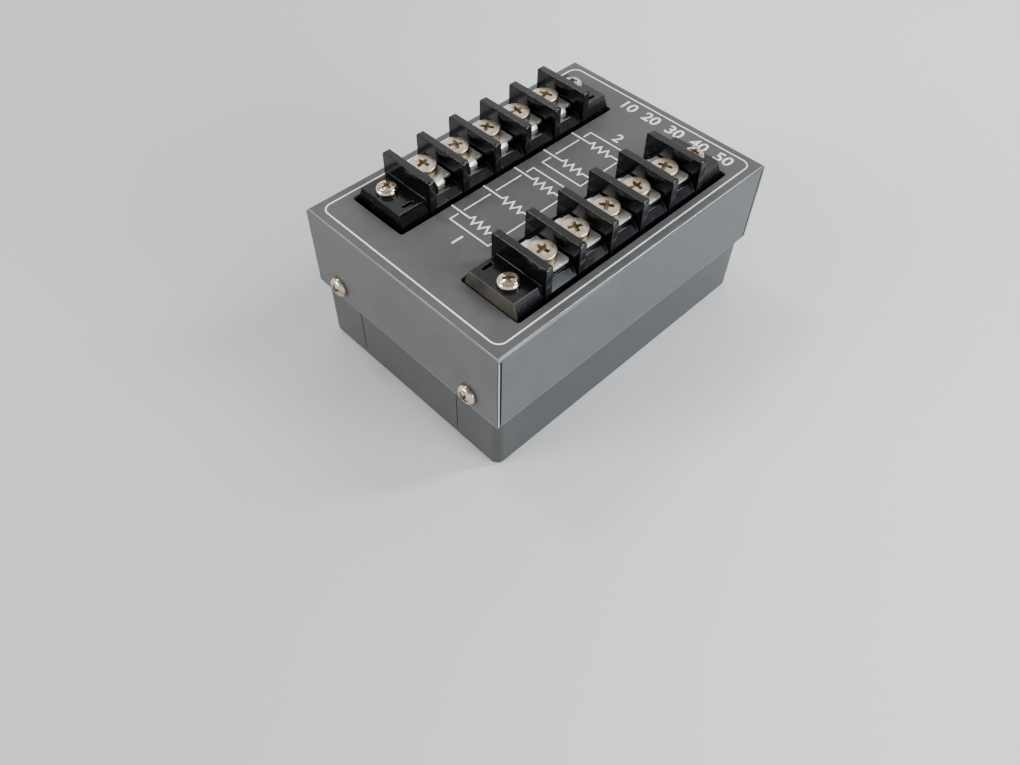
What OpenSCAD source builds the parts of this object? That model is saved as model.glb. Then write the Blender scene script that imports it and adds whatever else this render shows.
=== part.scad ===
// Fixed resistor box: a folded sheet-metal case with two five-pole barrier terminal strips.
// The case stands on Z = 0, centred on the origin. Its short front end faces -Y.

/* [Case] */
// Width of the cover across its short end
case_w = 70; // [64:0.5:100]
// Length of the cover along its long side
case_l = 100; // [92:0.5:140]
// Height of the top panel above the table
case_h = 44; // [38:0.1:70]
// Depth of the cover's folded sides
flange_h = 25; // [14:0.1:32]
// Thickness of the sheet metal of cover and base
sheet_t = 0.8; // [0.6:0.1:1.2]
// Inside radius of the cover's top bends
cover_bend_in = 0.25; // [0.1:0.05:1.5]
// Width of the open seam between a long side and the edge of the end flange
corner_seam = 0.45; // [0.2:0.05:1]

/* [Base tray] */
// Gap between the base and the cover all round
base_play = 0.2; // [0.1:0.05:0.6]
// Outside radius of the base's upright corner bends
base_corner = 2.4; // [1.6:0.1:4]
// Inside radius of the bend between the floor and the walls
floor_bend_in = 0.25; // [0.1:0.05:0.4]
// Width of the tab that each long wall folds round onto the end
tab_w = 15; // [14.5:0.1:20]
// Width of the open seam beside each tab
seam_w = 0.25; // [0.15:0.05:1]
// Height above the table at which the seams begin
seam_foot = 2.8; // [1.8:0.1:8]
// Gap between the top of the base's walls and the panel above
wall_gap = 0.6; // [0.3:0.1:3]

/* [Panel windows] */
// Distance from the cover's long edge to a window
window_margin = 4.9; // [3:0.1:8]
// Gap between a window's long edge and the strip's barriers
window_side_gap = 0.75; // [0.4:0.05:2]
// Gap between a window's short edge and the top of the strip's ear
window_end_gap = 0.8; // [0.7:0.05:2]
// Corner radius of the windows
window_r = 0.8; // [0.3:0.1:3]

/* [Terminal strips] */
// Number of poles in a strip
pole_count = 5; // [2:1:5]
// Distance from pole to pole
pole_pitch = 11.2; // [10.6:0.1:11.8]
// How far the strip's foot lies below the top of the panel
strip_drop = 6.5; // [4:0.1:10]
// Height of the deck between the barriers, above the foot
deck_h = 9.2; // [8.2:0.1:10.2]
// Height of the raised seat under each terminal plate, above the deck
seat_rise = 1.3; // [0.3:0.1:1.6]
// Height of the ears above the foot
ear_h = 10.4; // [8:0.1:12]
// Height of the barriers above the foot
barrier_h = 16; // [15:0.1:19]
// Thickness of a barrier
barrier_t = 2.2; // [1.4:0.1:2.4]
// Width of a barrier across the strip
barrier_w = 18; // [17.6:0.1:19]
// Top corner radius of a barrier on the wiring side
barrier_outer_r = 0.8; // [0.4:0.1:3]
// Top corner radius of a barrier on the solder side
barrier_inner_r = 0.8; // [0.4:0.1:2]
// Width of the strip's foot
foot_w = 17.2; // [16:0.1:17.4]
// Width of the deck between its sloping sides
deck_w = 13.6; // [13.4:0.1:15]
// Width of an ear at its top
ear_w = 14.5; // [13:0.1:15.6]
// Length of an ear at its top, from the outer barrier
ear_l = 8.7; // [7.6:0.1:8.8]
// How far the ear's end wall leans out from top to foot
ear_draft = 0.8; // [0:0.1:1]
// Height above the foot at which the sides begin to slope
shoulder_h = 7.1; // [3:0.1:7.6]
// Distance of the fixing screw from the outer barrier's middle
ear_screw_y = 6; // [5:0.1:7]
// Distance of the fixing screw from the strip's middle, to the wiring side
ear_screw_x = 1.8; // [0:0.1:3]
// Length of the blind slot in an ear
ear_slot_l = 3.2; // [2:0.1:5]
// Width of the blind slot in an ear
ear_slot_w = 0.9; // [0.5:0.1:1.4]
// Distance of the blind slot from the strip's middle, to the solder side
ear_slot_x = 5.6; // [5:0.1:6.2]
// Distance of the blind slot from the outer barrier's middle
ear_slot_y = 5.5; // [4.6:0.1:6.6]
// Depth of the blind slot in an ear
ear_slot_depth = 2; // [0.5:0.1:4]
// How far each strip stands off the middle of the case, the right one to the front
strip_shift = 0.4; // [0:0.1:0.8]

/* [Terminals] */
// Thickness of a terminal plate
plate_t = 0.8; // [0.5:0.1:1.2]
// Width of a terminal plate
plate_w = 8; // [6.8:0.1:8.2]
// Reach of a terminal plate from the strip's middle, to the wiring side
plate_reach = 6.5; // [5:0.1:6.6]
// Reach of the wide part of a plate from the strip's middle, to the solder side
plate_back = 4.6; // [4:0.1:4.8]
// Corner radius of a terminal plate on the wiring side
plate_corner = 0.8; // [0.3:0.1:1.5]
// Width of the solder tab
tab_plate_w = 2.5; // [2.4:0.1:4]
// Radius of the hollow corners where the solder tab leaves the plate
tab_fillet = 0.9; // [0.3:0.1:1]
// Length of the solder tab below the strip's foot
tab_drop = 5.4; // [4.6:0.1:7]
// Distance of the terminal screws from the strip's middle, to the wiring side
screw_x = 1.2; // [0:0.1:1.6]
// Diameter of the terminal screw's thread
screw_d = 4; // [3:0.1:4]
// Length of the terminal screw below its head
screw_l = 8; // [6.5:0.1:9]
// Diameter of the terminal screw's pan head
head_d = 7.2; // [6:0.1:7.4]
// Height of the terminal screw's pan head
head_h = 1.7; // [1.6:0.1:3]
// Diameter of the clamp washer
washer_d = 7; // [6.8:0.1:7.9]
// Thickness of the clamp washer
washer_t = 0.4; // [0.4:0.1:1]

/* [Small screws] */
// Diameter of the fixing screws' thread
fix_d = 3; // [2.5:0.1:3]
// Diameter of the fixing screws' pan head
fix_head_d = 5.7; // [5:0.1:6]
// Height of the fixing screws' pan head
fix_head_h = 2.1; // [1.6:0.1:2.6]
// Length of the cover screws below the head
cover_screw_l = 6; // [5:0.1:7]
// Distance of the cover screws from the case's long side
cover_screw_in = 10; // [8:0.1:12]
// Height of the cover screws above the cover's lower edge
cover_screw_up = 4.8; // [3.5:0.1:7]
// Width across the flats of the nuts
nut_af = 5.5; // [5:0.1:6]
// Thickness of the nuts
nut_t = 2.4; // [1.6:0.1:2.6]

/* [Inside] */
// Thickness of the mounting rails
rail_t = 1.2; // [0.8:0.1:2]
// How far a rail's seat reaches past the strip's middle, to the solder side
rail_reach = 3; // [2:0.1:4]
// Inside radius of a rail's bend
rail_bend = 0.6; // [0.3:0.1:2]
// Height of a rail's upright leg
rail_leg = 12; // [8:0.5:16]
// How far a rail runs on past the strip's fixing screws
rail_end = 8; // [4:0.5:9]
// Diameter of a resistor's body
resistor_d = 6.4; // [3:0.1:8]
// Length of a resistor's body
resistor_l = 17; // [12:0.5:20]
// Diameter of a resistor's leads
lead_d = 0.8; // [0.5:0.05:0.9]
// Distance of the leads below the strip's foot
lead_drop = 3.6; // [2.8:0.1:4]

/* [Hidden] */
$fn = 48;
eps = 0.1;
// Gap between a piece that turns or lifts and its seat
seat_gap = 0.05;
// Radial clearance of a screw in its thread
thread_gap = 0.05;
// Radial clearance of a screw in its washer
washer_gap = 0.1;
// Radial clearance of a loose hole
hole_gap = 0.2;
// Play of the solder tab and the plate's collar in the moulding
mould_gap = 0.1;

cover_bend = sheet_t + cover_bend_in;
floor_bend = sheet_t + floor_bend_in;
base_w = case_w - 2 * (sheet_t + base_play);
base_l = case_l - 2 * (sheet_t + base_play);
wall_top = case_h - sheet_t - wall_gap;
flange_z = case_h - flange_h;
foot_z = case_h - strip_drop;
cover_screw_x = case_w / 2 - cover_screw_in;

// Poles and barriers along a strip, counted from the front
row_half = pole_count * pole_pitch / 2;
function pole_y(i) = (i - (pole_count + 1) / 2) * pole_pitch;
function barrier_y(i) = i * pole_pitch - row_half;
ear_top_end = row_half + barrier_t / 2 + ear_l;
ear_foot_end = ear_top_end + ear_draft;
ear_y = row_half + ear_screw_y;
window_w = barrier_w + 2 * window_side_gap;
window_l = 2 * (ear_top_end + strip_shift + window_end_gap);
window_x = case_w / 2 - window_margin - window_w / 2;
rail_l = 2 * (ear_y + rail_end);
rail_seat = base_w / 2 - sheet_t - window_x + rail_reach;
rail_outer_bend = rail_bend + rail_t;

// Heights of one terminal above the strip's foot
seat_h = deck_h + seat_rise;
plate_top = seat_h + plate_t;
washer_z = plate_top + seat_gap;
head_z = washer_z + washer_t + seat_gap;
// Threaded collar drawn down from the plate
collar_wall = 0.9;
collar_d = screw_d + 2 * collar_wall;
collar_h = 1.6;
// How far the seats stay back from the plate's ends
seat_inset = 0.3;
// Room left round the screw in its well, and below its end
well_room = 0.6;
well_spare = 1;
well_d = screw_d + 2 * well_room;
well_z = head_z - screw_l - well_spare;

// Solder tab, bent down from the plate
tab_bend = 0.3;
tab_face = plate_back + tab_bend + plate_t;
tab_mid = tab_face - plate_t / 2;
tab_world_x = window_x - tab_mid;
// Clearance of a lead in the eye of its solder tab, and how far it sticks out beyond
lead_gap = 0.1;
lead_stub = 1;
// End caps of a resistor and the depth of the waist between them
resistor_cap = 2.4;
resistor_waist = 0.25;

// Corner radius of the blind slots, as a share of their width
slot_round = 0.4;

// Cross recess of a screw head, as shares of the head
recess_span = 0.54;
recess_width = 0.13;
recess_depth = 0.5;
dome_share = 0.45;

// How far each terminal screw, strip screw and cover screw was left turned
drive_turn = [8, 62, 35, 80, 20];
strip_screw_turn = 30;
cover_screw_turn = 15;
strip_screw_l = ear_h + rail_t + nut_t;

case_grey = [0.43, 0.44, 0.44];
base_grey = [0.36, 0.37, 0.38];
strip_black = [0.07, 0.07, 0.08];
nickel = [0.8, 0.77, 0.7];
zinc = [0.7, 0.7, 0.68];
resistor_brown = [0.45, 0.25, 0.14];

terminal_nodes = ["terminal_plate", "clamp_washer", "terminal_screw"];
sides = ["left", "right"];

// Flat and edge shapes

module round_rect(w, l, r) {
  square([w - 2 * r, l], center = true);
  square([w, l - 2 * r], center = true);
  for (sx = [-1, 1])
    for (sy = [-1, 1])
      translate([sx * (w / 2 - r), sy * (l / 2 - r)])
        circle(r);
}

// Rectangle standing on the X axis with its own radius at each top corner
module round_top(w, h, r_left, r_right) {
  shoulder = max(r_left, r_right);
  translate([-w / 2, 0])
    square([w, h - shoulder]);
  translate([-w / 2 + r_left, 0])
    square([w - r_left - r_right, h]);
  for (end = [[-1, r_left], [1, r_right]]) {
    if (end[1] > 0)
      translate([end[0] * (w / 2 - end[1]), h - end[1]])
        circle(end[1]);
    if (end[1] > 0 && end[1] < shoulder)
      translate([end[0] > 0 ? w / 2 - end[1] : -w / 2, h - shoulder])
        square([end[1], shoulder - end[1]]);
  }
}

// Profile in X and Z, drawn along Y and centred there
module along_y(length) {
  translate([0, length / 2, 0])
    rotate([90, 0, 0])
      linear_extrude(length)
        children();
}

// Profile in Y and Z, drawn along X and centred there
module along_x(length) {
  translate([-length / 2, 0, 0])
    rotate([90, 0, 90])
      linear_extrude(length)
        children();
}

// Both strips carry the same parts: the left one is the right one turned half round
module on_strip(side) {
  rotate(side == "left" ? 180 : 0)
    translate([window_x, -strip_shift, foot_z])
      children();
}

// Pole numbers run from the front on both strips
module on_pole(side, i) {
  on_strip(side)
    translate([screw_x, (side == "left" ? -1 : 1) * pole_y(i), 0])
      children();
}

// Case

// Solid block with a bend along each top edge, mitred at the corners
module folded_block(w, l, bend) {
  intersection() {
    along_y(l)
      round_top(w, flange_h, bend, bend);
    along_x(w)
      round_top(l, flange_h, bend, bend);
  }
}

// The end flanges run the full width, and each long side stops a little short of them
module corner_seams() {
  for (sx = [-1, 1])
    for (sy = [-1, 1])
      translate([sx * (case_w - sheet_t) / 2, sy * (case_l / 2 - sheet_t - corner_seam / 2), flange_z])
        cube([sheet_t + 2 * eps, corner_seam, 2 * (flange_h - cover_bend)], center = true);
}

module window_holes() {
  for (sx = [-1, 1])
    translate([sx * window_x, 0, case_h - sheet_t - eps])
      linear_extrude(sheet_t + 2 * eps)
        round_rect(window_w, window_l, window_r);
}

module at_cover_screws() {
  for (sx = [-1, 1])
    for (turn = [0, 180])
      rotate(turn)
        translate([sx * cover_screw_x, -case_l / 2, flange_z + cover_screw_up])
          rotate([90, 0, 0])
            children();
}

module cover() {
  color(case_grey)
    difference() {
      translate([0, 0, flange_z])
        folded_block(case_w, case_l, cover_bend);
      translate([0, 0, flange_z - sheet_t])
        folded_block(case_w - 2 * sheet_t, case_l - 2 * sheet_t, cover_bend_in);
      corner_seams();
      window_holes();
      at_cover_screws()
        translate([0, 0, -sheet_t - eps])
          cylinder(d = fix_d + 2 * hole_gap, h = sheet_t + 2 * eps);
    }
}

// Upper half of a rounded slab, turned over so that its bends lie at the floor
module bent_profile(span, h, r) {
  translate([0, h])
    mirror([0, 1])
      round_top(span, h, r, r);
}

// Solid tub with upright corner bends and a bend all round its floor
module tub(w, l, h, corner, bend) {
  along_y(l - 2 * corner)
    bent_profile(w, h, bend);
  along_x(w - 2 * corner)
    bent_profile(l, h, bend);
  for (sx = [-1, 1])
    for (sy = [-1, 1])
      translate([sx * (w / 2 - corner), sy * (l / 2 - corner), 0])
        rotate_extrude()
          intersection() {
            bent_profile(2 * corner, h, bend);
            square([corner, h]);
          }
}

module tab_seams() {
  for (sx = [-1, 1])
    for (sy = [-1, 1])
      translate([sx * (base_w / 2 - tab_w), sy * (base_l / 2 - sheet_t / 2), (seam_foot + wall_top) / 2])
        cube([seam_w, sheet_t + 2 * eps, wall_top - seam_foot + eps], center = true);
}

module base_tray() {
  color(base_grey)
    difference() {
      tub(base_w, base_l, wall_top, base_corner, floor_bend);
      translate([0, 0, sheet_t])
        tub(base_w - 2 * sheet_t, base_l - 2 * sheet_t, wall_top, base_corner - sheet_t, floor_bend_in);
      tab_seams();
      at_cover_screws()
        translate([0, 0, -2 * sheet_t - base_play - eps])
          cylinder(d = fix_d + 2 * hole_gap, h = sheet_t + base_play + 2 * eps);
    }
}

// Mounting rails

module rail_section() {
  difference() {
    translate([-rail_seat / 2, 0])
      round_top(rail_seat, rail_leg, 0, rail_outer_bend);
    translate([-rail_seat / 2 - rail_t, -rail_t])
      round_top(rail_seat, rail_leg, 0, rail_bend);
  }
}

module mounting_rail(side) {
  color(zinc)
    rotate(side == "left" ? 180 : 0)
      difference() {
        translate([base_w / 2 - sheet_t, 0, foot_z - rail_leg])
          along_y(rail_l)
            rail_section();
        for (sy = [-1, 1])
          translate([window_x + ear_screw_x, sy * ear_y - strip_shift, foot_z - rail_t - eps])
            cylinder(d = fix_d + 2 * hole_gap, h = rail_t + 2 * eps);
      }
}

// Terminal strips

module strip_body_section() {
  polygon([
    [-foot_w / 2, 0], [foot_w / 2, 0], [foot_w / 2, shoulder_h],
    [deck_w / 2, deck_h], [-deck_w / 2, deck_h], [-foot_w / 2, shoulder_h]
  ]);
}

module ear_section() {
  polygon([
    [-foot_w / 2, 0], [foot_w / 2, 0], [foot_w / 2, shoulder_h],
    [ear_w / 2, ear_h], [-ear_w / 2, ear_h], [-foot_w / 2, shoulder_h]
  ]);
}

module ears_side_view() {
  polygon([
    [-ear_foot_end, 0], [ear_foot_end, 0],
    [ear_top_end, ear_h], [-ear_top_end, ear_h]
  ]);
}

module ears() {
  difference() {
    intersection() {
      along_y(2 * ear_foot_end)
        ear_section();
      along_x(foot_w)
        ears_side_view();
    }
    translate([0, 0, ear_h / 2])
      cube([foot_w + eps, 2 * row_half, ear_h + eps], center = true);
    for (sy = [-1, 1]) {
      translate([ear_screw_x, sy * ear_y, -eps])
        cylinder(d = fix_d + 2 * hole_gap, h = ear_h + 2 * eps);
      translate([-ear_slot_x, sy * (row_half + ear_slot_y), ear_h - ear_slot_depth])
        linear_extrude(ear_slot_depth + eps)
          round_rect(ear_slot_w, ear_slot_l, slot_round * ear_slot_w);
    }
  }
}

module barriers() {
  for (i = [0:pole_count])
    translate([0, barrier_y(i), 0])
      along_y(barrier_t)
        round_top(barrier_w, barrier_h, barrier_inner_r, barrier_outer_r);
}

// Raised seats between the barriers, a little shorter than the plates
module seats() {
  translate([seat_inset - plate_back, -row_half, deck_h - eps])
    cube([plate_reach + plate_back - 2 * seat_inset, 2 * row_half, seat_rise + eps]);
}

// Hollow under each terminal: thread well, collar seat and slot for the solder tab
module pole_hollow() {
  translate([0, 0, well_z])
    cylinder(d = well_d, h = seat_h);
  translate([0, 0, seat_h - collar_h - mould_gap])
    cylinder(d = collar_d + 2 * mould_gap, h = seat_h);
  translate([-screw_x - tab_mid, 0, deck_h / 2])
    cube([plate_t + 2 * mould_gap, tab_plate_w + 2 * mould_gap, deck_h + 2 * eps], center = true);
}

module terminal_strip(side) {
  color(strip_black)
    on_strip(side) {
      difference() {
        union() {
          along_y(2 * row_half)
            strip_body_section();
          seats();
        }
        for (i = [1:pole_count])
          translate([screw_x, pole_y(i), 0])
            pole_hollow();
      }
      barriers();
      ears();
    }
}

// Terminals

// Square at the solder end, rounded at the wiring end
module plate_outline() {
  difference() {
    translate([-plate_back, 0])
      rotate(-90)
        round_top(plate_w, plate_reach + plate_back, plate_corner, plate_corner);
    translate([screw_x, 0])
      circle(d = screw_d + 2 * thread_gap);
  }
}

// Plan of the bend into the solder tab, with a hollow corner at each side
module tab_bend_plan() {
  difference() {
    translate([-tab_face, -tab_plate_w / 2 - tab_fillet])
      square([tab_face - plate_back + plate_corner, tab_plate_w + 2 * tab_fillet]);
    for (sy = [-1, 1])
      translate([-plate_back - tab_fillet, sy * (tab_plate_w / 2 + tab_fillet)]) {
        circle(tab_fillet);
        translate([-tab_fillet, 0])
          square(2 * tab_fillet, center = true);
      }
  }
}

// Quarter ring of the bend, with a length of the plate before it
module tab_bend_section() {
  outer = tab_bend + plate_t;
  translate([-plate_back, plate_top - outer])
    difference() {
      intersection() {
        circle(outer);
        translate([-outer, 0])
          square(outer);
      }
      circle(tab_bend);
    }
  translate([-plate_back, seat_h])
    square([plate_corner, plate_t]);
}

module solder_tab() {
  intersection() {
    along_y(plate_w)
      tab_bend_section();
    translate([0, 0, deck_h])
      linear_extrude(plate_top - deck_h + eps)
        tab_bend_plan();
  }
  translate([-tab_face, -tab_plate_w / 2, -tab_drop])
    cube([plate_t, tab_plate_w, plate_top - plate_t - tab_bend + tab_drop]);
}

module terminal_plate(side, i) {
  color(nickel)
    on_strip(side)
      translate([0, (side == "left" ? -1 : 1) * pole_y(i), 0])
        difference() {
          union() {
            translate([0, 0, seat_h])
              linear_extrude(plate_t)
                plate_outline();
            solder_tab();
            translate([screw_x, 0, seat_h - collar_h])
              difference() {
                cylinder(d = collar_d, h = collar_h);
                translate([0, 0, -eps])
                  cylinder(d = screw_d + 2 * thread_gap, h = collar_h + 2 * eps);
              }
          }
          translate([-tab_face - eps, 0, -lead_drop])
            rotate([0, 90, 0])
              cylinder(d = lead_d + 2 * lead_gap, h = plate_t + 2 * eps);
        }
}

module clamp_washer(side, i) {
  color(nickel)
    on_pole(side, i)
      translate([0, 0, washer_z])
        difference() {
          cylinder(d = washer_d, h = washer_t);
          translate([0, 0, -eps])
            cylinder(d = screw_d + 2 * washer_gap, h = washer_t + 2 * eps);
        }
}

// Pan-head screw standing on its head's underside, with the thread below
module pan_screw(thread_d, length, pan_d, pan_h, turn) {
  edge_h = pan_h * (1 - dome_share);
  dome_h = pan_h - edge_h;
  dome_r = (pan_d * pan_d / 4 + dome_h * dome_h) / (2 * dome_h);
  difference() {
    union() {
      translate([0, 0, -length])
        cylinder(d = thread_d, h = length + eps);
      cylinder(d = pan_d, h = edge_h);
      intersection() {
        translate([0, 0, edge_h - eps])
          cylinder(d = pan_d, h = dome_h + 2 * eps);
        translate([0, 0, pan_h - dome_r])
          sphere(dome_r);
      }
    }
    rotate(turn)
      for (quarter = [0, 90])
        rotate(quarter)
          translate([0, 0, pan_h])
            cube([recess_span * pan_d, recess_width * pan_d, 2 * recess_depth * pan_h], center = true);
  }
}

module terminal_screw(side, i) {
  color(nickel)
    on_pole(side, i)
      translate([0, 0, head_z])
        pan_screw(screw_d, screw_l, head_d, head_h, drive_turn[(i - 1) % len(drive_turn)]);
}

// Fixings

module at_strip_screws() {
  for (side = sides)
    for (sy = [-1, 1])
      on_strip(side)
        translate([ear_screw_x, sy * ear_y, 0])
          children();
}

module strip_screws() {
  color(nickel)
    at_strip_screws()
      translate([0, 0, ear_h])
        pan_screw(fix_d, strip_screw_l, fix_head_d, fix_head_h, strip_screw_turn);
}

module cover_screws() {
  color(nickel)
    at_cover_screws()
      pan_screw(fix_d, cover_screw_l, fix_head_d, fix_head_h, cover_screw_turn);
}

module nut() {
  difference() {
    cylinder(d = nut_af / cos(30), h = nut_t, $fn = 6);
    translate([0, 0, -eps])
      cylinder(d = fix_d + 2 * thread_gap, h = nut_t + 2 * eps);
  }
}

module rail_nuts() {
  color(zinc)
    at_strip_screws()
      translate([0, 0, -rail_t - nut_t])
        nut();
}

module cover_nuts() {
  color(zinc)
    at_cover_screws()
      translate([0, 0, -2 * sheet_t - base_play - nut_t])
        nut();
}

// Resistors between the solder tabs of facing poles

module resistor(i) {
  color(resistor_brown)
    translate([0, pole_y(i), foot_z - lead_drop])
      rotate(-atan(strip_shift / tab_world_x))
        rotate([0, 90, 0]) {
          cylinder(d = lead_d, h = 2 * (tab_world_x + plate_t / 2 + lead_stub), center = true);
          cylinder(d = resistor_d - 2 * resistor_waist, h = resistor_l, center = true);
          for (sz = [-1, 1])
            translate([0, 0, sz * (resistor_l - resistor_cap) / 2])
              cylinder(d = resistor_d, h = resistor_cap, center = true);
        }
}

cover();
base_tray();
strip_screws();
rail_nuts();
cover_screws();
cover_nuts();
for (side = sides) {
  mounting_rail(side);
  terminal_strip(side);
  for (i = [1:pole_count]) {
    terminal_plate(side, i);
    clamp_washer(side, i);
    terminal_screw(side, i);
  }
}
for (i = [1:pole_count])
  resistor(i);
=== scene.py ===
import math

import bmesh
import bpy
from mathutils import Matrix, Vector


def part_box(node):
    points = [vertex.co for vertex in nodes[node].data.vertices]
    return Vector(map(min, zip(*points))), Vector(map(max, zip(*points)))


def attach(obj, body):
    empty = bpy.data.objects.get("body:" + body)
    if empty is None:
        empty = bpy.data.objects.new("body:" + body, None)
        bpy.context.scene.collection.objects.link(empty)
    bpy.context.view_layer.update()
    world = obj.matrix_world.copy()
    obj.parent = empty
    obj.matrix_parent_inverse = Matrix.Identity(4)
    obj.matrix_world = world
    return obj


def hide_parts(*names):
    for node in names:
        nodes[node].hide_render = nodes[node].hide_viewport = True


# Grey resistor box with two barrier terminal strips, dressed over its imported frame
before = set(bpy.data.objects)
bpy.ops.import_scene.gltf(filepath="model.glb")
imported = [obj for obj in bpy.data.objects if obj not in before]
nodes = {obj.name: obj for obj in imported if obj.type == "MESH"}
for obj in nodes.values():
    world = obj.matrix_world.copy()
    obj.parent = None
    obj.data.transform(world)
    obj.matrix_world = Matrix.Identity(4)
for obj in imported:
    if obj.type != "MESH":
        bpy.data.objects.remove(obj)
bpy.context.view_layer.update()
scene = bpy.context.scene
mm = 0.001
print("frame loaded,", len(nodes), "nodes")


# Small helpers for shader trees and meshes

noiseSpread = (0.3, 0.7)     # where most of a noise's values lie


def startMaterial(name):
    material = bpy.data.materials.new(name)
    material.use_nodes = True
    tree = material.node_tree
    return material, tree, tree.nodes["Principled BSDF"]


def addNode(tree, kind, inputs=None, **settings):
    node = tree.nodes.new("ShaderNode" + kind)
    for key, value in settings.items():
        setattr(node, key, value)
    for key, value in (inputs or {}).items():
        if isinstance(value, bpy.types.NodeSocket):
            tree.links.new(value, node.inputs[key])
        else:
            node.inputs[key].default_value = value
    return node


def calc(tree, operation, *values):
    inputs = {slot: value for slot, value in enumerate(values)}
    return addNode(tree, "Math", inputs, operation=operation).outputs[0]


def objectPlace(tree):
    return addNode(tree, "TexCoord").outputs["Object"]


def splitAxes(tree, place):
    return addNode(tree, "SeparateXYZ", {"Vector": place}).outputs


def cloud(tree, place, scale, detail=2.0, rough=0.5):
    inputs = {"Vector": place, "Scale": scale, "Detail": detail, "Roughness": rough}
    return addNode(tree, "TexNoise", inputs).outputs["Fac"]


def ramp(tree, value, low, high, start=0.0, end=1.0):
    inputs = {"Value": value, "From Min": low, "From Max": high, "To Min": start, "To Max": end}
    return addNode(tree, "MapRange", inputs, interpolation_type="SMOOTHSTEP").outputs["Result"]


def blendColours(tree, share, first, second):
    inputs = {"Factor": share, "A": first, "B": second}
    mix = tree.nodes.new("ShaderNodeMix")
    mix.data_type = "RGBA"
    for key, value in inputs.items():
        socket = next(s for s in mix.inputs if s.name == key and s.enabled)
        if isinstance(value, bpy.types.NodeSocket):
            tree.links.new(value, socket)
        else:
            socket.default_value = value
    return next(s for s in mix.outputs if s.enabled)


def link(tree, output, shader, name):
    tree.links.new(output, shader.inputs[name])


def addBump(tree, shader, height, depth):
    inputs = {"Height": height, "Distance": depth, "Strength": 1.0}
    link(tree, addNode(tree, "Bump", inputs).outputs["Normal"], shader, "Normal")


def meshObject(name, bm):
    mesh = bpy.data.meshes.new(name)
    bm.to_mesh(mesh)
    bm.free()
    piece = bpy.data.objects.new(name, mesh)
    scene.collection.objects.link(piece)
    return piece


def grey(value, warm=0.0):
    return (value * (1 + warm), value, value * (1 - warm), 1.0)


# Camera, found by fitting the corners of the case

shot = dict(
    spot=(120.28, -133.22, 186.43),  # mm, middle of the lens
    aim=(16.28, -27.01, 0.0),        # mm, where the view's middle meets the table
    roll=1.47,                       # degrees
    lens=30.235,                     # mm
    sensor=36,                       # mm, its width
    nearest=10,                      # mm, where the view starts
)


def addCamera():
    data = bpy.data.cameras.new("camera")
    data.lens = shot["lens"]
    data.sensor_width = shot["sensor"]
    data.clip_start = shot["nearest"] * mm
    camera = bpy.data.objects.new("camera", data)
    scene.collection.objects.link(camera)
    spot = Vector(shot["spot"]) * mm
    look = (Vector(shot["aim"]) * mm - spot).to_track_quat("-Z", "Y").to_matrix().to_4x4()
    roll = Matrix.Rotation(math.radians(shot["roll"]), 4, "Z")
    camera.matrix_world = Matrix.Translation(spot) @ look @ roll
    scene.camera = camera


# Pale table and soft studio light

studio = dict(
    table=(grey(0.60), grey(0.80)),    # front left to back right: painted light, lighter towards the back right
    tableFade=(-0.12, 0.16),           # m, where the one turns into the other
    tableClouds=6.0,                   # per metre
    tableShift=0.05,                   # m, how far the clouds move the fade
    tableRoughness=0.7,
    tableSheen=0.25,
    tableSize=8.0,                     # m
    zenith=(0.40, 0.41, 0.43, 1.0),
    horizon=(1.26, 1.31, 1.38, 1.0),
    corner=(0.66, 0.69, 0.73, 1.0),    # the room beyond the back right corner
    cornerFade=(0.55, 1.25),           # x plus y of a direction, from the horizon's tone to the corner's
    skyTop=0.9,                        # z of a direction from which on all is zenith
    lamps=[                            # name, place (m), width and height (m), power (W), colour
        ("windowLamp", (-0.55, 0.60, 0.66), (1.0, 1.0), 2.1, (1.0, 0.95, 0.88)),
        ("backLamp", (0.44, 0.63, 0.82), (0.16, 0.62), 6.4, (0.95, 0.98, 1.0)),
        ("topLamp", (-0.56, -0.05, 0.90), (0.18, 0.18), 2.4, (1.0, 0.99, 0.97)),
        ("sideLamp", (0.92, 0.26, 0.28), (0.6, 0.6), 10.3, (0.91, 0.96, 1.0)),
        ("frontLamp", (-0.40, -0.90, 0.40), (0.6, 0.6), 8.8, (1.0, 0.98, 0.96)),
    ],
    target=(0.0, 0.0, 0.03),           # m, where the lamps face
)


def tablePaper():
    material, tree, shader = startMaterial("tablePaper")
    place = objectPlace(tree)
    axes = splitAxes(tree, place)
    across = calc(tree, "ADD", axes["X"], axes["Y"])
    clouds = cloud(tree, place, studio["tableClouds"], detail=3.0)
    shifted = calc(tree, "MULTIPLY_ADD", clouds, studio["tableShift"], across)
    # painted light: the table's tone rises towards the back right
    tone = ramp(tree, shifted, *studio["tableFade"])
    link(tree, blendColours(tree, tone, *studio["table"]), shader, "Base Color")
    shader.inputs["Roughness"].default_value = studio["tableRoughness"]
    shader.inputs["Specular IOR Level"].default_value = studio["tableSheen"]
    return material


def addTable():
    bm = bmesh.new()
    bmesh.ops.create_grid(bm, x_segments=1, y_segments=1, size=studio["tableSize"] / 2)
    table = meshObject("table", bm)
    table.data.materials.append(tablePaper())


def addSky():
    world = bpy.data.worlds.new("sky")
    scene.world = world
    world.use_nodes = True
    tree = world.node_tree
    way = splitAxes(tree, addNode(tree, "TexCoord").outputs["Generated"])
    backRight = ramp(tree, calc(tree, "ADD", way["X"], way["Y"]), *studio["cornerFade"])
    around = blendColours(tree, backRight, studio["horizon"], studio["corner"])
    climb = ramp(tree, way["Z"], 0.0, studio["skyTop"])
    glow = blendColours(tree, climb, around, studio["zenith"])
    link(tree, glow, tree.nodes["Background"], "Color")


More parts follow.
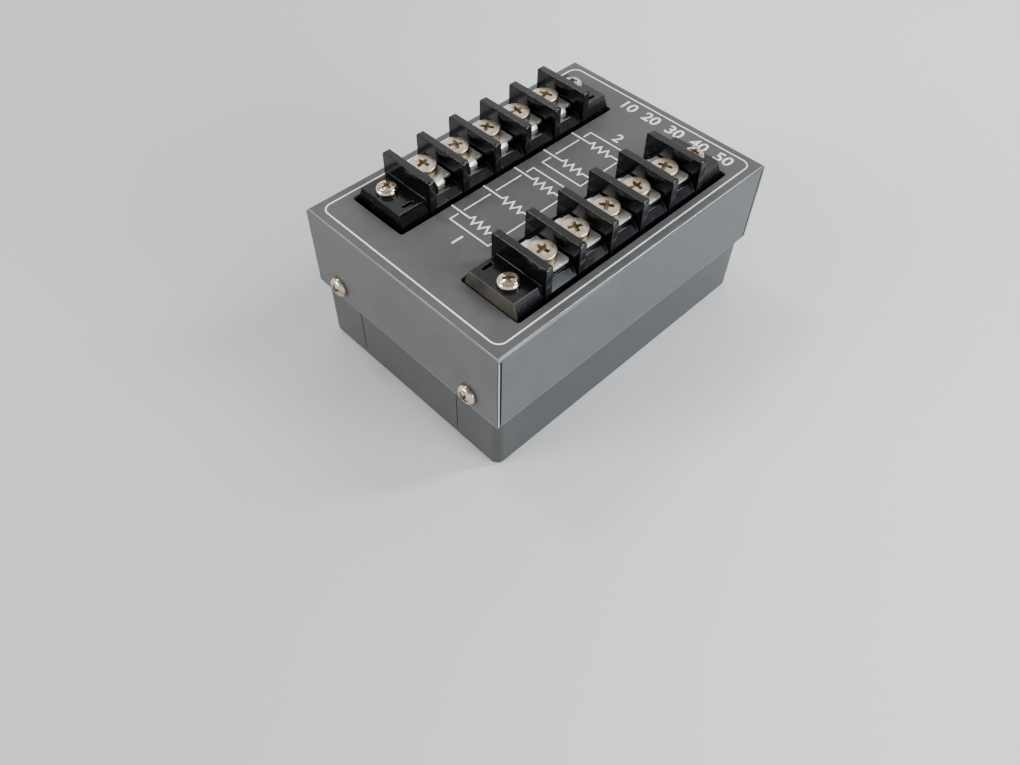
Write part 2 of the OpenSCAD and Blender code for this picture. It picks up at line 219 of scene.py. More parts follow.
def addLamps():
    for name, place, size, power, colour in studio["lamps"]:
        data = bpy.data.lights.new(name, "AREA")
        data.shape = "ELLIPSE"
        data.size, data.size_y = size
        data.energy = power
        data.color = colour
        lamp = bpy.data.objects.new(name, data)
        lamp.location = place
        lamp.rotation_mode = "QUATERNION"
        lamp.rotation_quaternion = (Vector(studio["target"]) - Vector(place)).to_track_quat("-Z", "Y")
        scene.collection.objects.link(lamp)


addCamera()
addTable()
addSky()
addLamps()
print("camera and studio set")


# Paint of the case

caseFinish = dict(
    coverTone=(grey(0.076, -0.01), grey(0.097, -0.01)),
    # painted shade: the base's tone is set darker than the cover's for its low place under the cover's edge
    baseTone=(grey(0.040, -0.01), grey(0.054, -0.01)),
    toneFade=(0.36, 0.64),     # of the clouds, from the darker tone to the lighter
    bare=grey(0.74, 0.01),     # metal where the paint is rubbed off, and the painted highlight along the top bends
    cutShade=grey(0.010),           # painted shade on the sheared edge of the sheet
    mottle=90,                 # cloudy patches per metre
    specks=4420,               # per metre
    speckShare=0.45,
    peel=1700,                 # orange peel per metre
    peelDepth=0.000022,        # m
    coverGloss=(0.44, 0.56),   # roughness, from and to
    baseGloss=(0.28, 0.40),
    sheen=0.26,
    smoother=-0.36,            # change of roughness on bends polished by handling
    brighter=0.34,             # change of sheen there
)


def paint(name, tone, gloss, wornAndShadedPlaces):
    material, tree, shader = startMaterial(name)
    place = objectPlace(tree)
    patches = cloud(tree, place, caseFinish["mottle"], detail=4.0, rough=0.6)
    specks = cloud(tree, place, caseFinish["specks"], detail=1.0)
    clouds = calc(tree, "MULTIPLY", patches, 1 - caseFinish["speckShare"])
    share = calc(tree, "MULTIPLY_ADD", specks, caseFinish["speckShare"], clouds)
    coat = blendColours(tree, ramp(tree, share, *caseFinish["toneFade"]), *tone)
    wearAndHighlight, polish, shadedCut = wornAndShadedPlaces(tree, place)
    # painted shade on the sheared edge, where a mask for it is given
    if shadedCut:
        coat = blendColours(tree, shadedCut, coat, caseFinish["cutShade"])
    link(tree, blendColours(tree, wearAndHighlight, coat, caseFinish["bare"]), shader, "Base Color")
    roughness = ramp(tree, patches, *noiseSpread, *gloss)
    shader.inputs["Specular IOR Level"].default_value = caseFinish["sheen"]
    if polish:
        roughness = calc(tree, "MULTIPLY_ADD", polish, caseFinish["smoother"], roughness)
        sheen = calc(tree, "MULTIPLY_ADD", polish, caseFinish["brighter"], caseFinish["sheen"])
        link(tree, sheen, shader, "Specular IOR Level")
    link(tree, roughness, shader, "Roughness")
    addBump(tree, shader, cloud(tree, place, caseFinish["peel"]), caseFinish["peelDepth"])
    return material


rubbing = dict(              # breaks worn lines and the painted bend highlight up: noise per metre, its fade, least share left
    stretches=(30, (0.34, 0.58), 0.22),
    flecks=(420, (0.28, 0.44), 0.55),
)


def patchy(tree, place, wearAndHighlight):
    scale, fade, least = rubbing["stretches"]
    stretches = ramp(tree, cloud(tree, place, scale), *fade, least, 1.0)
    scale, fade, least = rubbing["flecks"]
    flecks = ramp(tree, cloud(tree, place, scale, detail=3.0, rough=0.7), *fade, least, 1.0)
    return calc(tree, "MULTIPLY", wearAndHighlight, calc(tree, "MULTIPLY", stretches, flecks))


coverLow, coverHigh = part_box("cover")
coverWearAndHighlight = dict(            # a fade goes from where the wear starts to where it is full
    bendRadius=1.05 * mm,    # outside of the top bends
    line=0.15 * mm,          # half width of the worn line along them, which is also a painted highlight
    lineFade=(1.3, 0.4),     # shares of that half width
    lineWearAndHighlight=0.30,
    lean=55,                 # degrees above level, where the line faces, put where the highlight falls
    polishFade=(32, 18),     # degrees to the line's sides
    sheet=0.8 * mm,
    cutFade=(0.32, 0.18),    # shares of the sheet, from its middle
    cutWear=0.55,
    rim=0.10 * mm,
    rimWear=0.35,
)


def coverEdges(tree, place):
    look = coverWearAndHighlight
    axes = splitAxes(tree, place)
    sideways = calc(tree, "SUBTRACT", calc(tree, "ABSOLUTE", axes["X"]), coverHigh.x)
    lengthways = calc(tree, "SUBTRACT", calc(tree, "ABSOLUTE", axes["Y"]), coverHigh.y)
    upwards = calc(tree, "SUBTRACT", axes["Z"], coverHigh.z)
    out = calc(tree, "ADD", calc(tree, "MAXIMUM", sideways, lengthways), look["bendRadius"])
    lean = calc(tree, "ARCTAN2", calc(tree, "ADD", upwards, look["bendRadius"]), out)
    apart = calc(tree, "ABSOLUTE", calc(tree, "SUBTRACT", lean, math.radians(look["lean"])))
    half = look["line"] / look["bendRadius"]
    # the light line along the top bends: part wear, part painted highlight
    onBend = ramp(tree, apart, *(half * share for share in look["lineFade"]), 0.0, look["lineWearAndHighlight"])
    handled = ramp(tree, apart, *(math.radians(angle) for angle in look["polishFade"]))
    onLongSide = calc(tree, "GREATER_THAN", sideways, lengthways)
    onFace = calc(tree, "GREATER_THAN", sideways, -look["rim"])
    fromMiddle = calc(tree, "ABSOLUTE", calc(tree, "ADD", lengthways, look["sheet"] / 2))
    below = calc(tree, "LESS_THAN", upwards, -look["bendRadius"])
    inSheet = calc(tree, "LESS_THAN", fromMiddle, look["sheet"] / 2)
    # painted shade: the whole sheared edge of the end flanges is made dark, and a rubbed band stays in its
    # middle
    shadedCut = calc(tree, "MULTIPLY", calc(tree, "MULTIPLY", onFace, inSheet), below)
    bandFade = (look["sheet"] * share for share in look["cutFade"])
    band = ramp(tree, fromMiddle, *bandFade, 0.0, look["cutWear"])
    onCut = calc(tree, "MULTIPLY", shadedCut, band)
    lower = calc(tree, "SUBTRACT", axes["Z"], coverLow.z)
    onRim = ramp(tree, lower, look["rim"] * 2, look["rim"], 0.0, look["rimWear"])
    wearAndHighlight = calc(tree, "MAXIMUM", calc(tree, "MAXIMUM", onBend, onCut), onRim)
    return patchy(tree, place, wearAndHighlight), calc(tree, "MULTIPLY", handled, onLongSide), shadedCut


trayWear = dict(
    footFade=(0.25 * mm, 0.1 * mm),
    footWear=0.3,
)


def trayEdges(tree, place):
    onFoot = ramp(tree, splitAxes(tree, place)["Z"], *trayWear["footFade"], 0.0, trayWear["footWear"])
    return patchy(tree, place, onFoot), None, None


# Black moulding of the terminal strips

stripFinish = dict(
    tone=((0.0014, 0.0018, 0.0026, 1), (0.0030, 0.0034, 0.0044, 1)),
    mottle=160,                        # cloudy patches per metre
    gloss=(0.12, 0.22),                # roughness, from and to
    sheen=0.33,
    grain=2600,                        # per metre
    grainDepth=0.0000025,              # m
    dust=(0.16, 0.16, 0.15, 1),
    dustSpecks=1500,                   # per metre
    dustFade=(0.68, 0.76),
    dustShare=0.5,
    endReflection=((0.026, 0.024, 0.018, 1), (0.052, 0.047, 0.036, 1)),
    endSpread=(0.35, 0.65),            # both of the painted reflection on the front wall of one ear
    endRoughness=0.35,                 # added there
    endLean=0.8 * mm,
    endFade=(0.25 * mm, 0.02 * mm),
)


def paintedReflectionEnd(tree, place):  # front wall of the right strip's ear, which gets a painted warm reflection
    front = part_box("right_terminal_strip")[0].y + stripFinish["endLean"]
    return ramp(tree, splitAxes(tree, place)["Y"], *(front + fade for fade in stripFinish["endFade"]))


def blackMoulding():
    look = stripFinish
    material, tree, shader = startMaterial("blackMoulding")
    place = objectPlace(tree)
    patches = cloud(tree, place, look["mottle"], detail=4.0, rough=0.6)
    coat = blendColours(tree, ramp(tree, patches, *noiseSpread), *look["tone"])
    specks = cloud(tree, place, look["dustSpecks"], rough=0.6)
    dust = ramp(tree, specks, *look["dustFade"], 0.0, look["dustShare"])
    dusty = blendColours(tree, dust, coat, look["dust"])
    atEnd = paintedReflectionEnd(tree, place)
    # painted reflection: a lighter warm tone on the ear's front wall
    endReflectionTone = blendColours(tree, ramp(tree, patches, *look["endSpread"]), *look["endReflection"])
    link(tree, blendColours(tree, atEnd, dusty, endReflectionTone), shader, "Base Color")
    gloss = ramp(tree, patches, *noiseSpread, *look["gloss"])
    link(tree, calc(tree, "MULTIPLY_ADD", atEnd, look["endRoughness"], gloss), shader, "Roughness")
    shader.inputs["Specular IOR Level"].default_value = look["sheen"]
    addBump(tree, shader, cloud(tree, place, look["grain"], detail=3.0, rough=0.6), look["grainDepth"])
    return material


# Plated metal, ink and the resistors' enamel

metalFinish = dict(
    satin=((0.86, 0.82, 0.73, 1), (0.95, 0.92, 0.84, 1)),
    nickel=((0.51, 0.435, 0.355, 1), (0.69, 0.61, 0.52, 1)),
    bright=((0.54, 0.43, 0.33, 1), (0.86, 0.75, 0.64, 1)),
    aged=((0.19, 0.13, 0.07, 1), (0.42, 0.33, 0.22, 1)),
    # painted shade for the terminal heads' upright walls
    brown=((0.045, 0.028, 0.013, 1), (0.15, 0.10, 0.055, 1)),
    tarnished=((0.15, 0.11, 0.06, 1), (0.36, 0.28, 0.18, 1)),
    zinc=((0.52, 0.53, 0.54, 1), (0.70, 0.71, 0.71, 1)),
    toneFade=(0.32, 0.68),     # of the clouds, from the first tone to the second
    stain=(0.36, 0.27, 0.18, 1),
    stainFade=(0.46, 0.66),
    patches=420,               # per metre, as the next two
    stains=900,
    scratches=2400,
)


def metal(name, tones, gloss, stainShare, scratch=(1.0, 1.0, 1.0), scratchDepth=0.000006):
    look = metalFinish
    material, tree, shader = startMaterial(name)
    place = objectPlace(tree)
    patches = cloud(tree, place, look["patches"], detail=4.0, rough=0.65)
    coat = blendColours(tree, ramp(tree, patches, *look["toneFade"]), *look[tones])
    stains = cloud(tree, place, look["stains"], detail=3.0, rough=0.6)
    stained = ramp(tree, stains, *look["stainFade"], 0.0, stainShare)
    link(tree, blendColours(tree, stained, coat, look["stain"]), shader, "Base Color")
    shader.inputs["Metallic"].default_value = 1.0
    link(tree, ramp(tree, patches, *noiseSpread, *gloss), shader, "Roughness")
    drawn = addNode(tree, "Mapping", {"Vector": place, "Scale": scratch}).outputs["Vector"]
    addBump(tree, shader, cloud(tree, drawn, look["scratches"], rough=0.6), scratchDepth)
    return material


inkFinish = dict(
    tone=(grey(0.90), grey(0.98)),
    toneFade=(0.3, 0.6),
    thinSpots=1400,            # per metre
    roughness=0.42,
    depth=0.00001,             # m, of the paint's orange peel under it
)


def whiteInk():
    look = inkFinish
    material, tree, shader = startMaterial("whiteInk")
    place = objectPlace(tree)
    thick = ramp(tree, cloud(tree, place, look["thinSpots"], detail=3.0, rough=0.7), *look["toneFade"])
    link(tree, blendColours(tree, thick, *look["tone"]), shader, "Base Color")
    shader.inputs["Roughness"].default_value = look["roughness"]
    addBump(tree, shader, cloud(tree, place, caseFinish["peel"]), look["depth"])
    return material


resistorFinish = dict(
    body=((0.055, 0.16, 0.11, 1), (0.075, 0.20, 0.14, 1)),
    patches=300,               # per metre
    bands=[(0.28, (0.33, 0.09, 0.03, 1)), (0.40, (0.01, 0.01, 0.01, 1)),
           (0.52, (0.01, 0.01, 0.01, 1)), (0.66, (0.50, 0.06, 0.04, 1))],
    bandWidth=0.06,            # share of the body, as the bands' places
    halfLength=8.5 * mm,
    lead=(0.62, 0.60, 0.56, 1),
    roughness=0.35,
    grain=1200,                # per metre
    grainDepth=0.00001,        # m
)


def enamelWithBands():
    look = resistorFinish
    material, tree, shader = startMaterial("enamelWithBands")
    place = objectPlace(tree)
    along = splitAxes(tree, place)["X"]
    coat = blendColours(tree, cloud(tree, place, look["patches"], detail=3.0), *look["body"])
    share = calc(tree, "MULTIPLY_ADD", along, 0.5 / look["halfLength"], 0.5)
    for middle, colour in look["bands"]:
        apart = calc(tree, "ABSOLUTE", calc(tree, "SUBTRACT", share, middle))
        coat = blendColours(tree, calc(tree, "LESS_THAN", apart, look["bandWidth"] / 2), coat, colour)
    onLead = calc(tree, "GREATER_THAN", calc(tree, "ABSOLUTE", along), look["halfLength"])
    link(tree, blendColours(tree, onLead, coat, look["lead"]), shader, "Base Color")
    link(tree, onLead, shader, "Metallic")
    shader.inputs["Roughness"].default_value = look["roughness"]
    addBump(tree, shader, cloud(tree, place, look["grain"]), look["grainDepth"])
    return material


coverPaint = paint("coverPaint", caseFinish["coverTone"], caseFinish["coverGloss"], coverEdges)
basePaint = paint("basePaint", caseFinish["baseTone"], caseFinish["baseGloss"], trayEdges)
moulding = blackMoulding()
plateNickel = metal("plateNickel", "satin", gloss=(0.30, 0.42), stainShare=0.10, scratch=(1.0, 0.12, 1.0))
washerNickel = metal("washerNickel", "tarnished", gloss=(0.30, 0.46), stainShare=0.5)
headNickel = metal("headNickel", "nickel", gloss=(0.24, 0.40), stainShare=0.60, scratchDepth=0.000014)
screwNickel = metal("screwNickel", "bright", gloss=(0.10, 0.20), stainShare=0.55, scratchDepth=0.00001)
agedNickel = metal("agedNickel", "aged", gloss=(0.42, 0.60), stainShare=0.6, scratchDepth=0.00002)
# painted shade for the terminal heads' upright walls
shadedWallNickel = metal("shadedWallNickel", "brown", gloss=(0.34, 0.50), stainShare=0.5)
zincPlate = metal("zincPlate", "zinc", gloss=(0.36, 0.52), stainShare=0.10)
ink = whiteInk()
enamel = enamelWithBands()
print("finishes mixed")


# Pieces kept from the frame: finish, and edges softened as folding and moulding leave them

softEdges = dict(
    cover=0.08, baseTray=0.10, terminalStrip=0.20, terminalPlate=0.10,
    clampWasher=0.08, mountingRail=0.10, nuts=0.15,      # mm
    angle=32,         # degrees, edges flatter than this stay
    steps=3,
    merge=0.001,      # mm, triangles' corners closer than this are one
    flat=0.5,         # degrees, triangles that lie flatter than this are one face
    faceWeight=90,    # the higher, the flatter larger faces stay
)


def soften(piece, width):
    piece.data.shade_smooth()
    weld = piece.modifiers.new("weld", "WELD")
    weld.merge_threshold = softEdges["merge"] * mm
    flat = piece.modifiers.new("flatFaces", "DECIMATE")
    flat.decimate_type = "DISSOLVE"
    flat.angle_limit = math.radians(softEdges["flat"])
    edge = piece.modifiers.new("softEdge", "BEVEL")
    edge.limit_method = "ANGLE"
    edge.angle_limit = math.radians(softEdges["angle"])
    edge.width = width * mm
    edge.segments = softEdges["steps"]
    edge.use_clamp_overlap = False
    shade = piece.modifiers.new("shade", "WEIGHTED_NORMAL")
    shade.weight = softEdges["faceWeight"]


def finishNode(name, material, width):
    piece = nodes[name]
    piece.data.materials.clear()
    piece.data.materials.append(material)
    if width:
        soften(piece, width)


finishNode("cover", coverPaint, softEdges["cover"])
finishNode("base_tray", basePaint, softEdges["baseTray"])
for side in ("left", "right"):
    finishNode(side + "_terminal_strip", moulding, softEdges["terminalStrip"])
    finishNode(side + "_mounting_rail", zincPlate, softEdges["mountingRail"])
    for pole in range(1, 6):
        finishNode(f"{side}_terminal_plate_{pole}", plateNickel, softEdges["terminalPlate"])
        finishNode(f"{side}_clamp_washer_{pole}", washerNickel, softEdges["clampWasher"])
for pole in range(1, 6):
    finishNode(f"resistor_{pole}", enamel, 0)
for name in ("rail_nuts", "cover_nuts"):
    finishNode(name, zincPlate, softEdges["nuts"])
print("frame pieces finished")


# Cross-recess screws, turned in one piece and cut with a tapered cross

screwLook = dict(
    sides=56,
    curve=8,              # steps over the crown, and over the rounded edge
    underEdge=0.12,       # mm, small slope at the head's lower edge
    tip=0.3,              # share of the core that the shank's end slopes off
    crossSpan=0.66,       # shares of the head
    crossWidth=0.185,
    crossDepth=0.60,
    crossTaper=0.5,
    crossAbove=0.4,       # mm, how far the cutter stands out
    recessEdge=0.07,      # mm
    recessAngle=38,       # degrees, edges flatter than this stay
    wallReach=0.45,       # share of the head's width, beyond which faces belong to its wall
    wallEdge=0.7,         # share of the rounded edge's height that stays out of it
    threadDepth=0.32,     # mm
    threadSink=1.15,      # times that depth, so that the ridge sits in the core
    threadSteps=18,
    threadBare=0.8,       # pitches without a ridge at each end
    ridge=(0.42, 0.06),   # pitches, half of its foot and of its crest
    merge=0.002,          # mm
)


def closeSurface(bm):
    bmesh.ops.remove_doubles(bm, verts=bm.verts[:], dist=screwLook["merge"] * mm)
    bmesh.ops.recalc_face_normals(bm, faces=bm.faces[:])


def turnedHead(bm, shape):
    radius, height, edge, dome = shape["headD"] / 2, shape["headH"], shape["edge"], shape["dome"]
    core = shape["threadD"] / 2 - screwLook["threadDepth"]
    steps = screwLook["curve"]
    under = screwLook["underEdge"]
    tip = screwLook["tip"]
    end = -shape["length"]
    flat = radius - edge
    profile = [(flat * k / steps, height - dome * (k / steps) ** 2) for k in range(steps)]
    for k in range(steps + 1):
        angle = math.pi / 2 * k / steps
        profile.append((flat + edge * math.sin(angle), height - dome - edge * (1 - math.cos(angle))))
    profile += [(radius, under), (radius - under, 0.0), (core, 0.0)]
    profile += [(core, end + core * tip), (core * (1 - tip), end), (0.0, end)]
    points = [bm.verts.new((r * mm, 0, z * mm)) for r, z in profile]
    edges = [bm.edges.new(pair) for pair in zip(points, points[1:])]
    bmesh.ops.spin(bm, geom=points + edges, cent=(0, 0, 0), axis=(0, 0, 1), dvec=(0, 0, 0),
                   angle=2 * math.pi, steps=screwLook["sides"], use_merge=True)
    closeSurface(bm)


def crossCutter(bm, shape):
    span = screwLook["crossSpan"] * shape["headD"] * mm
    width = screwLook["crossWidth"] * shape["headD"] * mm
    depth = screwLook["crossDepth"] * shape["headH"] * mm
    above = screwLook["crossAbove"] * mm
    bmesh.ops.create_cube(bm, size=1.0)
    bmesh.ops.scale(bm, verts=bm.verts[:], vec=(width, width, depth + above))
    sides = [f for f in bm.faces if abs(f.normal.z) < 0.5]
    wings = bmesh.ops.extrude_discrete_faces(bm, faces=sides)["faces"]
    for wing in wings:
        bmesh.ops.translate(bm, verts=wing.verts[:], vec=wing.normal * (span - width) / 2)
    foot = [v for v in bm.verts if v.co.z < 0]
    bmesh.ops.scale(bm, verts=foot, vec=(screwLook["crossTaper"], screwLook["crossTaper"], 1))
    lift = shape["headH"] * mm + above - (depth + above) / 2
    bmesh.ops.translate(bm, verts=bm.verts[:], vec=(0, 0, lift))
    closeSurface(bm)


def cutHead(name, shape, headMaterial):
    headBm, cutBm = bmesh.new(), bmesh.new()
    turnedHead(headBm, shape)
    crossCutter(cutBm, shape)
    head, cutter = meshObject(name + "Head", headBm), meshObject(name + "Cutter", cutBm)
    for polygon in head.data.polygons:
        polygon.use_smooth = True
    head.data.materials.append(headMaterial)
    cutter.data.materials.append(agedNickel)
    recess = head.modifiers.new("recess", "BOOLEAN")
    recess.object = cutter
    recess.operation = "DIFFERENCE"
    recess.solver = "EXACT"
    recess.material_mode = "TRANSFER"
    rim = head.modifiers.new("rim", "BEVEL")
    rim.limit_method = "ANGLE"
    rim.angle_limit = math.radians(screwLook["recessAngle"])
    rim.width = screwLook["recessEdge"] * mm
    rim.segments = 2
    graph = bpy.context.evaluated_depsgraph_get()
    mesh = bpy.data.meshes.new_from_object(head.evaluated_get(graph), depsgraph=graph)
    mesh.name = name
    bpy.data.objects.remove(head)
    bpy.data.objects.remove(cutter)
    return mesh


def shadedWall(mesh, shape):  # painted shade: the upright edge of a head is given a dark brown tone
    mesh.materials.append(shadedWallNickel)
    wallTop = (shape["headH"] - shape["dome"] - shape["edge"] * screwLook["wallEdge"]) * mm
    for polygon in mesh.polygons:
        onWall = polygon.center.xy.length > screwLook["wallReach"] * shape["headD"] * mm
        if onWall and 0 < polygon.center.z < wallTop:
            polygon.material_index = shape["wallSlot"]


def woundThread(bm, shape):  # a ridge wound round the shank
    outer = shape["threadD"] / 2 * mm
    core = outer - screwLook["threadDepth"] * mm * screwLook["threadSink"]
    pitch = shape["pitch"] * mm
    bare = screwLook["threadBare"]
    turns = (shape["length"] - 2 * bare * shape["pitch"]) / shape["pitch"]
    steps = round(turns * screwLook["threadSteps"])
    start = -shape["length"] * mm + bare * pitch
    foot, crest = (share * pitch for share in screwLook["ridge"])
    ridge = [(core, -foot), (outer, -crest), (outer, crest), (core, foot)]
    face = bm.faces.new([bm.verts.new((r, 0, start + z)) for r, z in ridge])
    bmesh.ops.spin(bm, geom=[face], cent=(0, 0, 0), axis=(0, 0, 1), dvec=(0, 0, turns * pitch / steps),
                   angle=2 * math.pi * turns, steps=steps, use_merge=False)
    bmesh.ops.recalc_face_normals(bm, faces=bm.faces[:])


def screwMesh(name, shape, headMaterial):
    mesh = cutHead(name, shape, headMaterial)
    shadedWall(mesh, shape)
    threadBm = bmesh.new()
    woundThread(threadBm, shape)
    threadMesh = bpy.data.meshes.new(name + "Thread")
    threadBm.to_mesh(threadMesh)
    threadBm.free()
    whole = bmesh.new()
    whole.from_mesh(mesh)
    whole.from_mesh(threadMesh)
    whole.to_mesh(mesh)
    whole.free()
    bpy.data.meshes.remove(threadMesh)
    return mesh


def placedScrews(name, mesh, places, body, node):
    whole = bmesh.new()
    for place in places:
        copy = mesh.copy()
        copy.transform(place)
        whole.from_mesh(copy)
        bpy.data.meshes.remove(copy)
    piece = meshObject(name, whole)
    for material in mesh.materials:
        piece.data.materials.append(material)
    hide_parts(node)
    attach(piece, body)


# Sizes in mm, and the slot of the material on the head's wall: 0 as the head, 2 its painted shade
terminalScrew = dict(threadD=4.0, length=8.0, pitch=0.7,
                     headD=7.2, headH=1.7, edge=0.38, dome=0.22, wallSlot=2)
fixingScrew = dict(threadD=3.0, length=14.0, pitch=0.5,
                   headD=5.7, headH=2.07, edge=1.15, dome=0.35, wallSlot=0)
coverScrew = dict(fixingScrew, length=6.0)
fixingRadius = fixingScrew["headD"] / 2 * mm

leftAs = dict(                               # degrees, how each screw was left
    terminals=[8, 62, 35, 80, 20],
    ears=((-1, 30), (1, 71)),                # end of the strip, turn
    earTwist=24,                             # further on the right strip, back on the left one
    cover=((-1, 15), (1, 52)),               # side of the case, turn
)


def addTerminalScrews():
    mesh = screwMesh("terminalScrew", terminalScrew, headNickel)
    for side, half in (("left", math.pi), ("right", 0.0)):
        for pole, turn in enumerate(leftAs["terminals"], 1):
            node = f"{side}_terminal_screw_{pole}"
            low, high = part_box(node)
            spot = (low + high) / 2
            spot.z = low.z + terminalScrew["length"] * mm
            place = Matrix.Translation(spot) @ Matrix.Rotation(math.radians(turn) + half, 4, "Z")
            placedScrews(f"{side}_pole_{pole}_screw", mesh, [place],
                         f"{side}_screw_{pole}", node)


def addEarScrews():
    mesh = screwMesh("earScrew", fixingScrew, screwNickel)
    low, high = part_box("strip_screws")
    places = []
    for side, name in ((-1, "left"), (1, "right")):
        stripMiddle = sum(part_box(name + "_terminal_strip"), Vector()) / 2
        reach = high.y - fixingRadius - abs(stripMiddle.y)
        for end, turn in leftAs["ears"]:
            spot = Vector((side * (high.x - fixingRadius), stripMiddle.y + end * reach,
                           low.z + fixingScrew["length"] * mm))
            twist = math.radians(turn + leftAs["earTwist"] * side)
            places.append(Matrix.Translation(spot) @ Matrix.Rotation(twist, 4, "Z"))
    placedScrews("ear_screws", mesh, places, "case", "strip_screws")


def addCoverScrews():
    mesh = screwMesh("coverScrew", coverScrew, screwNickel)
    low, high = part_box("cover_screws")
    places = []
    for end in (0, math.pi):      # front, back
        for side, turn in leftAs["cover"]:
            spot = Matrix.Translation((side * (high.x - fixingRadius), coverLow.y, (low.z + high.z) / 2))
            outwards = Matrix.Rotation(math.pi / 2, 4, "X") @ Matrix.Rotation(math.radians(turn), 4, "Z")
            places.append(Matrix.Rotation(end, 4, "Z") @ spot @ outwards)
    placedScrews("case_screws", mesh, places, "case", "cover_screws")


addTerminalScrews()
addEarScrews()
addCoverScrews()
print("screws turned and cut")


# White print on the panel: border, wiring diagram and plain numbers

panelPrint = dict(
    top=coverHigh.z / mm,  # mm, face of the panel
    sunk=0.01,             # mm, how far the ink reaches into the paint
    proud=0.025,           # mm, how far it stands off
    merge=0.0005,          # mm
    borderInset=2.86,      # mm, from the case's edge to the border's middle
    borderLine=0.38,
    borderRadius=2.6,
    borderSteps=10,
    leadLine=0.47,
    leadEnd=10.6,          # mm, from the middle to a lead's end
    zigzagEnd=3.75,
    zigzagRise=1.25,
    peaks=6,
    pitch=11.2,
    middleLead=3,
    frames=[(-26.2, 3.6, (1, 2, 3)), (7.0, 26.3, (4, 5))],  # front and back edge, leads crossed
    frameSides=(-7.0, 6.8),
    frameLine=0.38,
    crossingGap=0.95,
    fontSize=1.42,         # times a number's height
    fontWeight=0.018,      # share of a number's height by which its strokes grow
)


def inkMesh(name, bm):
    for v in bm.verts:
        v.co.z = 0
    bmesh.ops.remove_doubles(bm, verts=bm.verts[:], dist=panelPrint["merge"])
    bmesh.ops.recalc_face_normals(bm, faces=bm.faces[:])
    top = bmesh.ops.extrude_face_region(bm, geom=bm.faces[:])["geom"]
    rise = panelPrint["sunk"] + panelPrint["proud"]
    lifted = [g for g in top if isinstance(g, bmesh.types.BMVert)]
    bmesh.ops.translate(bm, verts=lifted, vec=(0, 0, rise))
    base = panelPrint["top"] - panelPrint["sunk"]
    bmesh.ops.translate(bm, verts=bm.verts[:], vec=(0, 0, base))
    bmesh.ops.scale(bm, verts=bm.verts[:], vec=(mm, mm, mm))
    bmesh.ops.recalc_face_normals(bm, faces=bm.faces[:])
    piece = meshObject(name, bm)
    piece.data.materials.append(ink)
    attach(piece, "case")


def printBorder():
    p = panelPrint
    panel = (coverHigh - coverLow) / mm
    narrower = p["borderLine"] - 2 * p["borderInset"]
    bm = bmesh.new()
    bmesh.ops.create_grid(bm, x_segments=1, y_segments=1, size=0.5)
    bmesh.ops.scale(bm, verts=bm.verts[:], vec=(panel.x + narrower, panel.y + narrower, 1))
    bmesh.ops.bevel(bm, geom=bm.verts[:], offset=p["borderRadius"] + p["borderLine"] / 2, affect="VERTICES",
                    segments=p["borderSteps"], profile=0.5, material=-1)
    inner = bm.faces[:]
    bmesh.ops.inset_region(bm, faces=inner, thickness=p["borderLine"],
                           use_even_offset=True, use_boundary=True)
    bmesh.ops.delete(bm, geom=inner, context="FACES_ONLY")
    inkMesh("panel_border", bm)


def ribbon(bm, points, width):  # a flat line with mitred corners
    spots = [Vector((x, y, 0)) for x, y in points]
    steps = [(b - a).normalized() for a, b in zip(spots, spots[1:])]
    normals = [Vector((-d.y, d.x, 0)) for d in steps]
    mitres = [normals[0]]
    for before, after in zip(normals, normals[1:]):
        mitres.append((before + after) / (1 + before.dot(after)))
    mitres.append(normals[-1])
    pair = [bm.verts.new(spots[0] + mitres[0] * width / 2), bm.verts.new(spots[0] - mitres[0] * width / 2)]
    edge = bm.edges.new(pair)
    for spot, mitre in zip(spots[1:], mitres[1:]):
        made = bmesh.ops.extrude_edge_only(bm, edges=[edge])["geom"]
        fresh = [g for g in made if isinstance(g, bmesh.types.BMVert)]
        fresh.sort(key=lambda v: (v.co - pair[0].co).length)
        edge = next(g for g in made if isinstance(g, bmesh.types.BMEdge))
        fresh[0].co, fresh[1].co = spot + mitre * width / 2, spot - mitre * width / 2
        pair = fresh


def leadMiddle(lead):
    return (lead - panelPrint["middleLead"]) * panelPrint["pitch"]


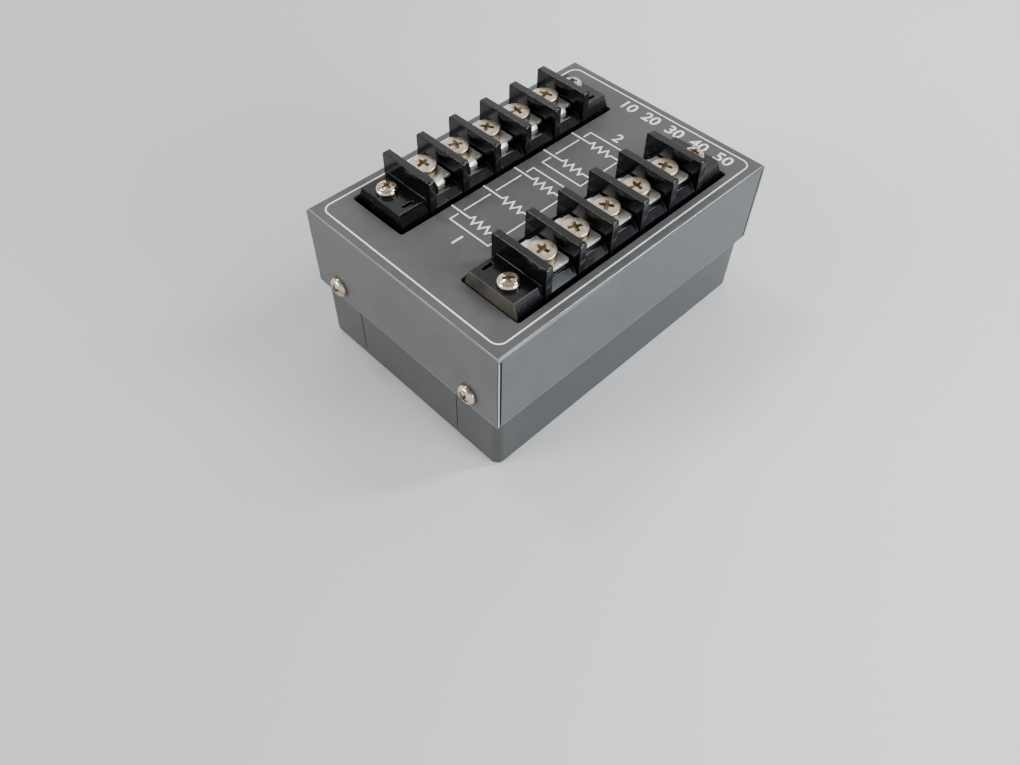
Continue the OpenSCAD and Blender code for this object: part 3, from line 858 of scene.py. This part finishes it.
def leadPoints(y):
    p = panelPrint
    step = 2 * p["zigzagEnd"] / p["peaks"]
    points = [(-p["leadEnd"], y), (-p["zigzagEnd"], y)]
    for peak in range(p["peaks"]):
        rise = p["zigzagRise"] * (1 if peak % 2 == 0 else -1)
        points.append((-p["zigzagEnd"] + step * (peak + 0.5), y + rise))
    return points + [(p["zigzagEnd"], y), (p["leadEnd"], y)]


def printFrame(bm, front, back, leads):
    p = panelPrint
    stops = [front]
    for lead in leads:
        stops += [leadMiddle(lead) - p["crossingGap"], leadMiddle(lead) + p["crossingGap"]]
    stops.append(back)
    left, right = p["frameSides"]
    ribbon(bm, [(left, stops[1]), (left, front), (right, front), (right, stops[1])], p["frameLine"])
    ribbon(bm, [(left, stops[-2]), (left, back), (right, back), (right, stops[-2])], p["frameLine"])
    for start, end in zip(stops[2:-2:2], stops[3:-1:2]):
        for x in (left, right):
            ribbon(bm, [(x, start), (x, end)], p["frameLine"])


def printDiagram():
    bm = bmesh.new()
    for lead in range(1, 6):
        ribbon(bm, leadPoints(leadMiddle(lead)), panelPrint["leadLine"])
    for front, back, leads in panelPrint["frames"]:
        printFrame(bm, front, back, leads)
    inkMesh("panel_diagram", bm)


numbers = [                # text, middle (mm), height (mm)
    ("1", (0.0, -30.3), 3.6),
    ("2", (0.0, 29.6), 3.6),
    ("10", (-8.0, 43.4), 3.9),
    ("20", (0.4, 43.4), 3.9),
    ("30", (8.8, 43.4), 3.9),
    ("40", (17.2, 43.4), 3.9),
    ("50", (25.6, 43.4), 3.9),
]


def printNumbers():
    bm = bmesh.new()
    for text, middle, height in numbers:
        curve = bpy.data.curves.new("number", "FONT")
        curve.body = text
        curve.align_x, curve.align_y = "CENTER", "CENTER"
        curve.size = height * panelPrint["fontSize"]
        curve.offset = panelPrint["fontWeight"] * height
        sign = bpy.data.objects.new("number", curve)
        scene.collection.objects.link(sign)
        graph = bpy.context.evaluated_depsgraph_get()
        mesh = bpy.data.meshes.new_from_object(sign.evaluated_get(graph), depsgraph=graph)
        mesh.transform(Matrix.Translation((*middle, 0)))
        bm.from_mesh(mesh)
        bpy.data.meshes.remove(mesh)
        bpy.data.objects.remove(sign)
    inkMesh("panel_numbers", bm)


printBorder()
printDiagram()
printNumbers()
print("panel printed")
